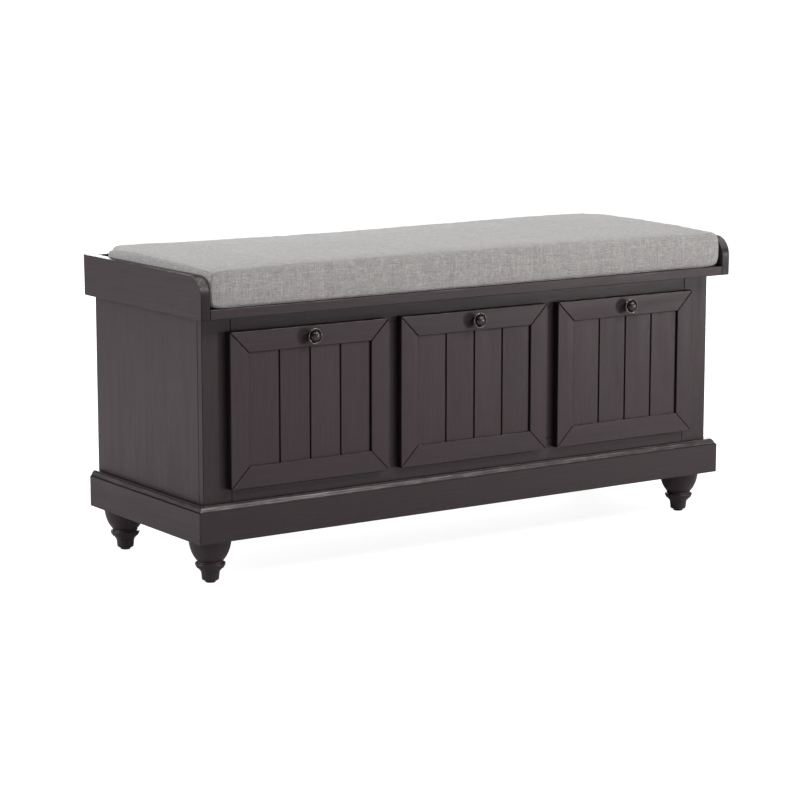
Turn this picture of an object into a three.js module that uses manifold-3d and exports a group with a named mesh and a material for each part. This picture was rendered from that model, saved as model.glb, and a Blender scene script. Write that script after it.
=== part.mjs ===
// A storage bench: a low cabinet with three drop-front doors, a moulded plinth on turned feet,
// and a shallow seat tray that holds a loose box cushion.
// Millimetres. +X is the length, -Y is the front, +Z is up. The origin is on the floor, under the middle.
import * as THREE from "three";
import { RoundedBoxGeometry } from "three/addons/geometries/RoundedBoxGeometry.js";
import { mergeVertices } from "three/addons/utils/BufferGeometryUtils.js";
import Module from "manifold-3d";

const wasm = await Module();
wasm.setup();

// ---- driving dimensions ----
const WIDTH = 1117.9; // over the seat tray's side boards
const DEPTH = 404.9; // over the seat tray, front to back
const HEIGHT = 519.9; // from the floor to the top of the tray's boards
const GAP = 0.3; // clearance between pieces that meet

// Seat tray: a seat board with side boards and a back board that stand up around the cushion.
const TRAY_HEIGHT = 70.6;
const TRAY_WALL = 17;
const TRAY_CORNER_RADIUS = 35; // rounded top front corner of a side board
const SEAT_THICKNESS = 16.3;
const TRAY_SIDE_OVERHANG = 21;
const TRAY_FRONT_OVERHANG = 37;

// Cushion
const CUSHION_SIDE_GAP = 4;
const CUSHION_FRONT_INSET = 2.5;
const CUSHION_BACK_GAP = 4;
const CUSHION_THICKNESS = 64;
const CUSHION_EDGE_RADIUS = 14;

// Cabinet
const PANEL_THICKNESS = 17; // end panels
const DIVIDER_THICKNESS = 15;
const FLOOR_THICKNESS = 15;
const BACK_THICKNESS = 6;
const FRAME_THICKNESS = 14; // the face frame in front of the panels
const PLINTH_BOTTOM = 77; // height of the feet

// Drop-front doors, which overlay the face frame
const DOOR_COUNT = 3;
const DOOR_WIDTH = 312;
const DOOR_HEIGHT = 261.5;
const DOOR_PITCH = 336.8;
const DOOR_BOTTOM = 161.4;
const DOOR_THICKNESS = 13.6;
const DOOR_BACK_GAP = 0.6; // between a shut door and the face frame
const SIDE_OVERLAY = 9;
const TOP_OVERLAY = 9;
const BOTTOM_OVERLAY = 16;
const MEMBER_WIDTH = 36; // the door's four mitred frame members
const PANEL_RECESS = 4;
const DOOR_PANEL_THICKNESS = 6;
const PANEL_TONGUE = 7; // how deep the door's panel sits in its frame members
const PLANKS_PER_DOOR = 4;
const GROOVE_WIDTH = 3.4;
const GROOVE_DEPTH = 2.2;

// Plinth: a mitred skirting board with a moulded top edge
const PLINTH_HEIGHT = 62.5;
const PLINTH_THICKNESS = 17.2;
const MOULDING_HEIGHT = 9.6;
const MOULDING_DEPTH = 7.7;
const MOULDING_STEP = 1.3;

// Feet. Each is turned, from the floor up, to a slim toe, a cove, a rounded ring and a bowl.
const FOOT_SIDE_INSET = 48; // foot centre from the plinth's outer side face
const FOOT_FRONT_INSET = 51;
const FOOT_BACK_INSET = 36.5;
const FOOT_RADIUS = 35.5;
const FOOT_BOWL_HEIGHT = 68; // where the bowl reaches its full radius
const FOOT_BOWL_PULL = [32.7, 50]; // radius and height that the bowl's curve is drawn towards
const FOOT_NECK = [22, 38]; // radius and height of the step between ring and bowl
const FOOT_RING_RADIUS = 22.4; // to the middle of the ring's rounded edge
const FOOT_RING_HEIGHT = 34;
const FOOT_RING_ROUND = 2.7;
const FOOT_COVE_PULL = [15.6, 26.5]; // radius and height that the cove's curve is drawn towards
const FOOT_ANKLE = [14.5, 17.5]; // radius and height of the toe's upper end
const FOOT_TOE_RADIUS = 13.4;
const GLIDE_HEIGHT = 3.5;
const GLIDE_RADIUS = 9;
const GLIDE_CHAMFER = 1;
const CLEAT_WIDTH = 72; // the cleat that a pair of feet screws into
const CLEAT_THICKNESS = 25;

// Knobs. Each is turned, from the door out, to a foot, a neck, a rounded rim and a domed face.
const KNOB_RADIUS = 13.5;
const KNOB_PROJECTION = 20;
const KNOB_DROP = 16.5; // knob centre below the door's top edge
const KNOB_FOOT_RADIUS = 7;
const KNOB_NECK_RADIUS = 4.4;
const KNOB_NECK_LENGTH = 7.5;
const KNOB_RIM_ROUND = 1.3;
const KNOB_RIM_REACH = 13.3; // from the door to the middle of the rim
const KNOB_DOME_RADIUS = 9.9;

// How finely the curved pieces are made
const CURVE_SEGMENTS = 10;
const TRAY_CORNER_SEGMENTS = 24;
const TURNED_SEGMENTS = 20;
const FOOT_CURVE_POINTS = 4;
const KNOB_CURVE_POINTS = 3;

// Continuous hinge along the bottom of each door
const LEAF_THICKNESS = 0.8;
const LEAF_WIDTH = 14;
const KNUCKLE_RADIUS = 1.7;
const KNUCKLE_LENGTH = 30;
const KNUCKLE_COUNT = 9;
const KNUCKLE_SEGMENTS = 12;
const PIN_RADIUS = 0.86;
const BORE_RADIUS = 0.95;
const HINGE_DROP = 0.4; // space between the door's bottom edge and the knuckles

// Magnetic catch under the top rail, and its strike plate on the door
const CATCH_WIDTH = 36;
const CATCH_HEIGHT = 12;
const CATCH_DEPTH = 14.5;
const CATCH_OFFSET = 90; // from the door's centre line
const STRIKE_WIDTH = 30;
const STRIKE_HEIGHT = 11;
const STRIKE_THICKNESS = 1;

const CUTTER_OVERRUN = 1; // how far a cutting shape runs past the face it cuts from

// ---- places worked out from them ----
const FRONT = -DEPTH / 2;
const BACK = DEPTH / 2;
const TRAY_BOTTOM = HEIGHT - TRAY_HEIGHT;
const TRAY_INNER = WIDTH / 2 - TRAY_WALL;
const SEAT_TOP = TRAY_BOTTOM + SEAT_THICKNESS;
const BODY_HALF = WIDTH / 2 - TRAY_SIDE_OVERHANG;
const BODY_FRONT = FRONT + TRAY_FRONT_OVERHANG;
const BODY_TOP = TRAY_BOTTOM - GAP;
const FRAME_BACK = BODY_FRONT + FRAME_THICKNESS;
const PANEL_INNER = BODY_HALF - PANEL_THICKNESS;
const BACK_PANEL_FRONT = BACK - BACK_THICKNESS;
const OPENING_HALF = DOOR_WIDTH / 2 - SIDE_OVERLAY;
const OPENING_BOTTOM = DOOR_BOTTOM + BOTTOM_OVERLAY;
const OPENING_TOP = DOOR_BOTTOM + DOOR_HEIGHT - TOP_OVERLAY;
const OUTER_STILE_INNER = DOOR_PITCH + OPENING_HALF;
const DIVIDER_CENTRE = DOOR_PITCH / 2;
const DOOR_BACK = BODY_FRONT - DOOR_BACK_GAP;
const PLINTH_TOP = PLINTH_BOTTOM + PLINTH_HEIGHT;
const PLINTH_HALF = BODY_HALF + PLINTH_THICKNESS;
const PLINTH_FRONT = BODY_FRONT - PLINTH_THICKNESS;
const HINGE_LENGTH = KNUCKLE_COUNT * KNUCKLE_LENGTH;
const PIN_Y = BODY_FRONT - DOOR_BACK_GAP / 2;
const PIN_Z = DOOR_BOTTOM - HINGE_DROP - KNUCKLE_RADIUS;
const LEAF_FACE = DOOR_BACK_GAP / 2; // from the pin's plane to the near face of either leaf
const LEAF_FOOT = KNUCKLE_RADIUS + 2 * GAP; // from the pin up to the leaf's lower edge
const POCKET = 0.3; // how much larger than the hinge its seat in the wood is

const SIDES = [[-1, "left"], [1, "right"]];

// Turns of an outline: into a front view, and into a section across the length.
const FRONT_AXES = new THREE.Matrix4().makeBasis(
  new THREE.Vector3(1, 0, 0),
  new THREE.Vector3(0, 0, 1),
  new THREE.Vector3(0, -1, 0),
);
const LENGTH_AXES = new THREE.Matrix4().makeBasis(
  new THREE.Vector3(0, 1, 0),
  new THREE.Vector3(0, 0, 1),
  new THREE.Vector3(1, 0, 0),
);

// ---- materials ----
function finish(color, roughness, metalness) {
  return new THREE.MeshStandardMaterial({ color, roughness, metalness });
}

const stainedWood = () => finish(0x4a4446, 0.45, 0);
const rawWood = () => finish(0x6b5a4a, 0.7, 0);
const greyLinen = () => finish(0xb4b2b0, 0.95, 0);
const agedPewter = () => finish(0x45403c, 0.35, 0.9);
const hingeSteel = () => finish(0x6a665f, 0.4, 1);
const catchPlastic = () => finish(0x3a3431, 0.6, 0);
const glidePlastic = () => finish(0x24211f, 0.6, 0);

// ---- helpers ----
const bench = new THREE.Group();

function piece(parent, name, geometry, material) {
  const mesh = new THREE.Mesh(geometry, material);
  mesh.name = name;
  parent.add(mesh);
  return mesh;
}

function ordered(a, b) {
  return a < b ? [a, b] : [b, a];
}

// A box between two opposite corners.
function boxBetween(low, high) {
  const size = high.map((value, axis) => value - low[axis]);
  const geometry = new THREE.BoxGeometry(...size);
  return geometry.translate(...low.map((value, axis) => value + size[axis] / 2));
}

// A flat board between two opposite corners.
function board(name, material, low, high) {
  return piece(bench, name, boxBetween(low, high), material);
}

function outline(points) {
  return new THREE.Shape(points.map(([x, y]) => new THREE.Vector2(x, y)));
}

function extruded(shape, depth, axes, curveSegments = CURVE_SEGMENTS) {
  const geometry = new THREE.ExtrudeGeometry(shape, { depth, bevelEnabled: false, curveSegments });
  return axes ? geometry.applyMatrix4(axes) : geometry;
}

// The solid of a closed geometry, for cutting and joining.
function solid(geometry) {
  const bare = geometry.clone();
  bare.deleteAttribute("normal");
  bare.deleteAttribute("uv");
  const merged = mergeVertices(bare, 1e-4);
  return new wasm.Manifold(
    new wasm.Mesh({
      numProp: 3,
      vertProperties: merged.attributes.position.array,
      triVerts: new Uint32Array(merged.index.array),
    }),
  );
}

function geometryOf(made) {
  const mesh = made.getMesh();
  const geometry = new THREE.BufferGeometry();
  geometry.setAttribute("position", new THREE.BufferAttribute(mesh.vertProperties, 3));
  geometry.setIndex(new THREE.BufferAttribute(mesh.triVerts, 1));
  return geometry;
}

function cut(geometry, ...tools) {
  return geometryOf(tools.reduce((made, tool) => made.subtract(solid(tool)), solid(geometry)));
}

// ---- seat tray and cushion ----
function traySideOutline() {
  const cornerY = FRONT + TRAY_CORNER_RADIUS;
  const cornerZ = HEIGHT - TRAY_CORNER_RADIUS;
  const shape = new THREE.Shape();
  shape.moveTo(FRONT, TRAY_BOTTOM);
  shape.lineTo(BACK, TRAY_BOTTOM);
  shape.lineTo(BACK, HEIGHT);
  shape.lineTo(cornerY, HEIGHT);
  shape.absarc(cornerY, cornerZ, TRAY_CORNER_RADIUS, Math.PI / 2, Math.PI, false);
  return shape;
}

function addTray() {
  const side = extruded(traySideOutline(), TRAY_WALL, LENGTH_AXES, TRAY_CORNER_SEGMENTS);
  piece(bench, "tray_side_left", side, stainedWood()).position.x = -WIDTH / 2;
  piece(bench, "tray_side_right", side, stainedWood()).position.x = TRAY_INNER;
  const end = TRAY_INNER - GAP;
  board("seat_board", stainedWood(), [-end, FRONT, TRAY_BOTTOM], [end, BACK - TRAY_WALL - GAP, SEAT_TOP]);
  board("tray_back_board", stainedWood(), [-end, BACK - TRAY_WALL, TRAY_BOTTOM], [end, BACK, HEIGHT]);
}

function addCushion() {
  const width = 2 * (TRAY_INNER - CUSHION_SIDE_GAP);
  const front = FRONT + CUSHION_FRONT_INSET;
  const back = BACK - TRAY_WALL - CUSHION_BACK_GAP;
  const shape = new RoundedBoxGeometry(width, back - front, CUSHION_THICKNESS, 3, CUSHION_EDGE_RADIUS);
  const cushion = piece(bench, "seat_cushion", shape, greyLinen());
  cushion.position.set(0, (front + back) / 2, SEAT_TOP + GAP + CUSHION_THICKNESS / 2);
}

// ---- cabinet carcass ----
function addCarcass() {
  const panelFront = FRAME_BACK + GAP;
  for (const [side, name] of SIDES) {
    const [left, right] = ordered(side * BODY_HALF, side * PANEL_INNER);
    board(`end_panel_${name}`, stainedWood(), [left, panelFront, PLINTH_BOTTOM], [right, BACK, BODY_TOP]);
    const centre = side * DIVIDER_CENTRE;
    const half = DIVIDER_THICKNESS / 2;
    board(
      `divider_${name}`, stainedWood(),
      [centre - half, panelFront, OPENING_BOTTOM + GAP],
      [centre + half, BACK_PANEL_FRONT - GAP, BODY_TOP],
    );
  }
  const inner = PANEL_INNER - GAP;
  board("back_panel", stainedWood(), [-inner, BACK_PANEL_FRONT, PLINTH_BOTTOM], [inner, BACK, BODY_TOP]);
  board(
    "storage_floor", stainedWood(),
    [-inner, panelFront, OPENING_BOTTOM - FLOOR_THICKNESS], [inner, BACK_PANEL_FRONT - GAP, OPENING_BOTTOM],
  );
}

// ---- face frame ----
// The seat that the frame leaf and the knuckles of one hinge need in the bottom rail.
function hingeSeats(centre) {
  const half = HINGE_LENGTH / 2 + POCKET;
  const leafBack = PIN_Y + LEAF_FACE + LEAF_THICKNESS + POCKET;
  const knuckleBack = PIN_Y + KNUCKLE_RADIUS + POCKET;
  const leafTop = PIN_Z + LEAF_FOOT + LEAF_WIDTH + POCKET;
  const knuckleReach = KNUCKLE_RADIUS + POCKET;
  const proud = BODY_FRONT - CUTTER_OVERRUN;
  const [left, right] = [centre - half, centre + half];
  return [
    boxBetween([left, proud, PIN_Z], [right, leafBack, leafTop]),
    boxBetween([left, proud, PIN_Z - knuckleReach], [right, knuckleBack, PIN_Z + knuckleReach]),
  ];
}

function addFaceFrame() {
  const railEnd = OUTER_STILE_INNER - GAP;
  const bottomRail = boxBetween(
    [-railEnd, BODY_FRONT, PLINTH_BOTTOM + CLEAT_THICKNESS], [railEnd, FRAME_BACK, OPENING_BOTTOM],
  );
  const seats = doorCentres().flatMap(hingeSeats);
  piece(bench, "frame_bottom_rail", cut(bottomRail, ...seats), stainedWood());
  board(
    "frame_top_rail", stainedWood(),
    [-railEnd, BODY_FRONT, OPENING_TOP], [railEnd, FRAME_BACK, BODY_TOP],
  );
  for (const [side, name] of SIDES) {
    const outer = ordered(side * BODY_HALF, side * OUTER_STILE_INNER);
    board(
      `frame_stile_${name}`, stainedWood(),
      [outer[0], BODY_FRONT, PLINTH_BOTTOM], [outer[1], FRAME_BACK, BODY_TOP],
    );
    const middle = ordered(side * OPENING_HALF, side * (DOOR_PITCH - OPENING_HALF));
    board(
      `frame_mid_stile_${name}`, stainedWood(),
      [middle[0], BODY_FRONT, OPENING_BOTTOM + GAP], [middle[1], FRAME_BACK, OPENING_TOP - GAP],
    );
  }
}

// ---- plinth ----
// The board's section: x is the distance in from its outer face, y is the height.
function plinthOutline() {
  const mouldingBottom = PLINTH_TOP - MOULDING_HEIGHT;
  const shape = new THREE.Shape();
  shape.moveTo(0, PLINTH_BOTTOM);
  shape.lineTo(PLINTH_THICKNESS - GAP, PLINTH_BOTTOM);
  shape.lineTo(PLINTH_THICKNESS - GAP, PLINTH_TOP);
  shape.lineTo(MOULDING_DEPTH, PLINTH_TOP);
  shape.lineTo(MOULDING_DEPTH, PLINTH_TOP - MOULDING_STEP);
  shape.bezierCurveTo(
    MOULDING_DEPTH / 2, PLINTH_TOP - MOULDING_STEP,
    MOULDING_DEPTH / 2, mouldingBottom + MOULDING_STEP,
    MOULDING_STEP, mouldingBottom + MOULDING_STEP / 2,
  );
  shape.lineTo(MOULDING_STEP, mouldingBottom);
  shape.lineTo(0, mouldingBottom);
  return shape;
}

// A length of plinth along +X with its outer face on y = 0. A mitred end is cut back as far as it is deep.
function plinthBoard(length, startMitred, endMitred) {
  const geometry = extruded(plinthOutline(), length, LENGTH_AXES);
  const places = geometry.attributes.position;
  for (let i = 0; i < places.count; i += 1) {
    const depth = places.getY(i) + GAP / Math.SQRT2;
    const atEnd = places.getX(i) > length / 2;
    if (atEnd && endMitred) places.setX(i, length - depth);
    if (!atEnd && startMitred) places.setX(i, depth);
  }
  return geometry;
}

function addPlinth() {
  const sideLength = BACK - PLINTH_FRONT;
  const front = piece(bench, "plinth_front", plinthBoard(2 * PLINTH_HALF, true, true), stainedWood());
  front.position.set(-PLINTH_HALF, PLINTH_FRONT, 0);
  const right = piece(bench, "plinth_right", plinthBoard(sideLength, true, false), stainedWood());
  right.position.set(PLINTH_HALF, PLINTH_FRONT, 0);
  right.rotation.z = Math.PI / 2;
  const left = piece(bench, "plinth_left", plinthBoard(sideLength, false, true), stainedWood());
  left.position.set(-PLINTH_HALF, BACK, 0);
  left.rotation.z = -Math.PI / 2;
}

// ---- feet ----
// Half section of a foot from its toe up: x is the radius, y is the height.
function footProfile() {
  const top = PLINTH_BOTTOM - GAP;
  const bottom = GLIDE_HEIGHT + GAP;
  const ringUnderside = FOOT_RING_HEIGHT - FOOT_RING_ROUND;
  const path = new THREE.Path();
  path.moveTo(0, bottom);
  path.lineTo(FOOT_TOE_RADIUS, bottom);
  path.lineTo(...FOOT_ANKLE);
  path.quadraticCurveTo(...FOOT_COVE_PULL, FOOT_RING_RADIUS, ringUnderside);
  path.absarc(FOOT_RING_RADIUS, FOOT_RING_HEIGHT, FOOT_RING_ROUND, -Math.PI / 2, Math.PI / 2, false);
  path.lineTo(...FOOT_NECK);
  path.quadraticCurveTo(...FOOT_BOWL_PULL, FOOT_RADIUS, FOOT_BOWL_HEIGHT);
  path.lineTo(FOOT_RADIUS, top);
  path.lineTo(0, top);
  return path.getPoints(FOOT_CURVE_POINTS);
}

function glideProfile() {
  return outline([
    [0, 0],
    [GLIDE_RADIUS - GLIDE_CHAMFER, 0],
    [GLIDE_RADIUS, GLIDE_CHAMFER],
    [GLIDE_RADIUS, GLIDE_HEIGHT],
    [0, GLIDE_HEIGHT],
  ]).getPoints();
}

function turned(profile) {
  return new THREE.LatheGeometry(profile, TURNED_SEGMENTS).rotateX(Math.PI / 2);
}

function addFoot(name, x, y) {
  const foot = piece(bench, `foot_${name}`, turned(footProfile()), stainedWood());
  const glide = piece(bench, `glide_${name}`, turned(glideProfile()), glidePlastic());
  foot.position.set(x, y, 0);
  glide.position.set(x, y, 0);
}

function addFeet() {
  for (const [side, name] of SIDES) {
    const x = side * (PLINTH_HALF - FOOT_SIDE_INSET);
    addFoot(`front_${name}`, x, PLINTH_FRONT + FOOT_FRONT_INSET);
    addFoot(`back_${name}`, x, BACK - FOOT_BACK_INSET);
    const outer = PANEL_INNER - GAP;
    const [left, right] = ordered(side * outer, side * (outer - CLEAT_WIDTH));
    board(
      `foot_cleat_${name}`, rawWood(),
      [left, FRAME_BACK + GAP, PLINTH_BOTTOM],
      [right, BACK_PANEL_FRONT - GAP, PLINTH_BOTTOM + CLEAT_THICKNESS - GAP],
    );
  }
}

// ---- doors ----
function doorCentres() {
  return Array.from({ length: DOOR_COUNT }, (_, i) => (i - (DOOR_COUNT - 1) / 2) * DOOR_PITCH);
}

// A mitred frame member with its outer edge on y = 0 and its back on z = 0, grooved for the panel.
function doorMember(length) {
  const joint = GAP / Math.SQRT2;
  const half = length / 2;
  const shape = outline([
    [-half + joint, 0],
    [half - joint, 0],
    [half - MEMBER_WIDTH - joint, MEMBER_WIDTH],
    [-half + MEMBER_WIDTH + joint, MEMBER_WIDTH],
  ]);
  const panelFront = DOOR_THICKNESS - PANEL_RECESS;
  const groove = boxBetween(
    [-half, MEMBER_WIDTH - PANEL_TONGUE, panelFront - DOOR_PANEL_THICKNESS - GAP],
    [half, MEMBER_WIDTH + CUTTER_OVERRUN, panelFront + GAP],
  );
  return cut(extruded(shape, DOOR_THICKNESS), groove);
}

// The same member with the seat of the hinge's door leaf cut into its back.
function hingedMember(length) {
  const half = HINGE_LENGTH / 2 + POCKET;
  const leafTop = LEAF_FOOT + LEAF_WIDTH - KNUCKLE_RADIUS - HINGE_DROP + POCKET;
  const seatDepth = LEAF_THICKNESS + POCKET;
  const seat = boxBetween([-half, -CUTTER_OVERRUN, -CUTTER_OVERRUN], [half, leafTop, seatDepth]);
  return cut(doorMember(length), seat);
}

// The door's panel, grooved to look like planks. Its back is on z = 0.
function plankedPanel() {
  const half = DOOR_WIDTH / 2 - MEMBER_WIDTH + PANEL_TONGUE - GAP;
  const height = DOOR_HEIGHT - 2 * (MEMBER_WIDTH - PANEL_TONGUE + GAP);
  const plank = (DOOR_WIDTH - 2 * MEMBER_WIDTH) / PLANKS_PER_DOOR;
  const front = DOOR_PANEL_THICKNESS;
  const floor = front - GROOVE_DEPTH;
  const points = [[-half, 0], [half, 0], [half, front]];
  for (let i = PLANKS_PER_DOOR - 1; i > 0; i -= 1) {
    const x = (i - PLANKS_PER_DOOR / 2) * plank;
    points.push([x + GROOVE_WIDTH / 2, front], [x + GROOVE_WIDTH / 3, floor]);
    points.push([x - GROOVE_WIDTH / 3, floor], [x - GROOVE_WIDTH / 2, front]);
  }
  points.push([-half, front]);
  return extruded(outline(points), height, FRONT_AXES).translate(0, height / 2, 0);
}

// Half section of a knob from its foot outwards: x is the radius, y is the distance from the door.
function knobProfile() {
  const rimCentre = KNOB_RADIUS - KNOB_RIM_ROUND;
  const rimBack = KNOB_RIM_REACH - KNOB_RIM_ROUND;
  const path = new THREE.Path();
  path.moveTo(0, 0);
  path.lineTo(KNOB_FOOT_RADIUS, 0);
  path.quadraticCurveTo(KNOB_NECK_RADIUS, 2, KNOB_NECK_RADIUS, KNOB_NECK_LENGTH);
  path.quadraticCurveTo(KNOB_NECK_RADIUS + 1, rimBack - 1, rimCentre, rimBack);
  path.absarc(rimCentre, KNOB_RIM_REACH, KNOB_RIM_ROUND, -Math.PI / 2, Math.PI / 2, false);
  path.lineTo(KNOB_DOME_RADIUS, KNOB_RIM_REACH);
  path.quadraticCurveTo(
    KNOB_DOME_RADIUS - 1, KNOB_PROJECTION - 1, KNOB_DOME_RADIUS / 3, KNOB_PROJECTION - GAP,
  );
  path.lineTo(0, KNOB_PROJECTION);
  return path.getPoints(KNOB_CURVE_POINTS);
}

function addDoor(centre, name) {
  // Inside this group the door lies on its back: x across, y up the door, z out to the front.
  const door = new THREE.Group();
  door.position.set(centre, DOOR_BACK, DOOR_BOTTOM + DOOR_HEIGHT / 2);
  door.rotation.x = Math.PI / 2;
  bench.add(door);
  const members = [
    ["bottom_rail", hingedMember(DOOR_WIDTH), DOOR_HEIGHT / 2],
    ["right_stile", doorMember(DOOR_HEIGHT), DOOR_WIDTH / 2],
    ["top_rail", doorMember(DOOR_WIDTH), DOOR_HEIGHT / 2],
    ["left_stile", doorMember(DOOR_HEIGHT), DOOR_WIDTH / 2],
  ];
  members.forEach(([part, geometry, reach], i) => {
    const placed = geometry.translate(0, -reach, 0).rotateZ((i * Math.PI) / 2);
    piece(door, `door_${name}_${part}`, placed, stainedWood());
  });
  const panel = piece(door, `door_${name}_panel`, plankedPanel(), stainedWood());
  panel.position.z = DOOR_THICKNESS - PANEL_RECESS - DOOR_PANEL_THICKNESS;
  const knob = piece(door, `knob_${name}`, turned(knobProfile()), agedPewter());
  knob.position.set(0, DOOR_HEIGHT / 2 - KNOB_DROP, DOOR_THICKNESS + GAP);
  const strikeTop = DOOR_HEIGHT / 2 - TOP_OVERLAY - GAP;
  piece(
    door, `strike_plate_${name}`,
    boxBetween(
      [CATCH_OFFSET - STRIKE_WIDTH / 2, strikeTop - STRIKE_HEIGHT, -STRIKE_THICKNESS - GAP],
      [CATCH_OFFSET + STRIKE_WIDTH / 2, strikeTop, -GAP],
    ),
    hingeSteel(),
  );
}

function addCatch(centre, name) {
  const left = centre + CATCH_OFFSET - CATCH_WIDTH / 2;
  const front = DOOR_BACK + STRIKE_THICKNESS + 2 * GAP;
  board(
    `magnet_catch_${name}`, catchPlastic(),
    [left, front, OPENING_TOP - GAP - CATCH_HEIGHT],
    [left + CATCH_WIDTH, front + CATCH_DEPTH, OPENING_TOP - GAP],
  );
}

// ---- hinges ----
// A cylinder along X about the pin's axis.
function rod(radius, start, end) {
  const geometry = new THREE.CylinderGeometry(radius, radius, end - start, KNUCKLE_SEGMENTS);
  return geometry.rotateZ(Math.PI / 2).translate((start + end) / 2, 0, 0);
}

// One leaf about the pin's axis. Its knuckles are every second one from the first given,
// and its plate stands on the +Y side for the frame leaf, and on the -Y side for the door leaf.
function hingeLeaf(firstKnuckle, side) {
  const near = side * LEAF_FACE;
  const far = side * (LEAF_FACE + LEAF_THICKNESS);
  const [low, high] = ordered(near, far);
  const half = HINGE_LENGTH / 2;
  let leaf = solid(boxBetween([-half, low, LEAF_FOOT], [half, high, LEAF_FOOT + LEAF_WIDTH]));
  for (let i = firstKnuckle; i < KNUCKLE_COUNT; i += 2) {
    const start = -half + i * KNUCKLE_LENGTH + GAP / 2;
    const end = start + KNUCKLE_LENGTH - GAP;
    const lug = boxBetween([start, low, BORE_RADIUS + GAP], [end, high, LEAF_FOOT + GAP]);
    leaf = leaf.add(solid(rod(KNUCKLE_RADIUS, start, end))).add(solid(lug));
  }
  return leaf;
}

function addHinge(centre, name) {
  const half = HINGE_LENGTH / 2;
  const frameLeaf = hingeLeaf(0, 1).add(solid(rod(PIN_RADIUS, -half + GAP, half - GAP)));
  const doorLeaf = hingeLeaf(1, -1).subtract(solid(rod(BORE_RADIUS, -half - GAP, half + GAP)));
  const frameMesh = piece(bench, `hinge_${name}_frame_leaf`, geometryOf(frameLeaf), hingeSteel());
  const doorMesh = piece(bench, `hinge_${name}_door_leaf`, geometryOf(doorLeaf), hingeSteel());
  frameMesh.position.set(centre, PIN_Y, PIN_Z);
  doorMesh.position.set(centre, PIN_Y, PIN_Z);
}

addTray();
addCushion();
addCarcass();
addFaceFrame();
addPlinth();
addFeet();
doorCentres().forEach((centre, i) => {
  const name = ["left", "middle", "right"][i];
  addDoor(centre, name);
  addCatch(centre, name);
  addHinge(centre, name);
});

export default bench;
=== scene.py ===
"""The looks of a storage bench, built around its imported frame.

Metres. +X is the bench's length, -Y its front and +Z up. Its pieces are placed by the frame's nodes.
"""

import math

import bpy
import numpy as np
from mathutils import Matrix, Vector, geometry, noise


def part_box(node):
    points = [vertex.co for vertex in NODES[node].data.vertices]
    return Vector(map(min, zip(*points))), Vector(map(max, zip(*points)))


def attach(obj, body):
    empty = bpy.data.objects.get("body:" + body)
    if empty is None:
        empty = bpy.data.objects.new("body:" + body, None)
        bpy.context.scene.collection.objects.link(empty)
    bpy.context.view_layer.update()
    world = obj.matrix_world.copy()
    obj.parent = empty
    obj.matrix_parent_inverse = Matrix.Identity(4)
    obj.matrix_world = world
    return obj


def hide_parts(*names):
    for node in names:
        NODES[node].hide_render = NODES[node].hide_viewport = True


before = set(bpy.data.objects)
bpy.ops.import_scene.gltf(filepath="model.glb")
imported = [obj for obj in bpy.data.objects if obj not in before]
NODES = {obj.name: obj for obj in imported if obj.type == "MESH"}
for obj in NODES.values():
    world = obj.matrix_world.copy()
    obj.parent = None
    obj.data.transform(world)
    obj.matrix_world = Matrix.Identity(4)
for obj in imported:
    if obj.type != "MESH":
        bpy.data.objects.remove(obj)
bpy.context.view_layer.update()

MM = 0.001
DOORS = ("left", "middle", "right")
X, Y, Z = 0, 1, 2
AXIS_LETTERS = "xyz"

# ---- studio ----
CAMERA_PLACE = (-2.5738, -3.7308, 1.0097)
CAMERA_TURN = 34.22  # degrees to the right of straight ahead
CAMERA_DIP = 9.64  # degrees below level
CAMERA_LENS = 114.94  # mm
SENSOR_WIDTH = 36  # mm
FLOOR_SIZE = 400
FLOOR_SEEN = (0.34, 0.34, 0.34, 1)
FLOOR_BOUNCE = (0.55, 0.55, 0.55, 1)
FLOOR_GLOW = 0.90  # a backlit table, so that the shadow on it stays pale
ROOM_LIGHT = 0.02
LIT_POINT = (0, 0, 0.3)  # what the lights are aimed at
OVERHEAD_STRENGTH = 1.36
OVERHEAD_SPREAD = 75  # degrees across, which makes its shadows soft
WHITE = (1, 1, 1, 1)
WARM = (1.0, 0.96, 0.952)

# ---- eased edges ----
BOARD_EDGE = 1.1 * MM
DOOR_EDGE = 1.5 * MM
PANEL_EDGE = 0.5 * MM
CLEAT_EDGE = 1.0 * MM
LEAF_EDGE = 0.15 * MM
PLATE_EDGE = 0.25 * MM
CATCH_EDGE = 0.6 * MM
GLIDE_EDGE = 0.3 * MM
BEVELLED_FROM = 28  # degrees between two faces
FLAT_WITHIN = 0.5  # degrees between two faces that count as one
JOINED_WITHIN = 0.01 * MM  # points of a mesh that count as one

# ---- screws ----
SCREW_SIDES = 24
HINGE_SCREWS = 6  # in each leaf
HINGE_SCREW_RADIUS = 2.9 * MM
HINGE_SCREW_PROUD = 0.22 * MM
HINGE_SCREW_STAGGER = 2.2 * MM
LEAF_WIDTH = 14 * MM
KNOB_SCREW_RADIUS = 4.0 * MM
KNOB_SCREW_PROUD = 0.9 * MM
BACK_SCREWS = 7  # in each of the back panel's two rows
BACK_SCREW_RADIUS = 3.4 * MM
BACK_SCREW_PROUD = 0.8 * MM
BACK_SCREW_INSET = 9 * MM  # from the panel's edges
SCREW_TURN = 2.4  # radians from one screw's cross to the next one's
RECESS_SHADE = 0.12  # painted shade in the cross: this share of the steel's brightness
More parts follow.
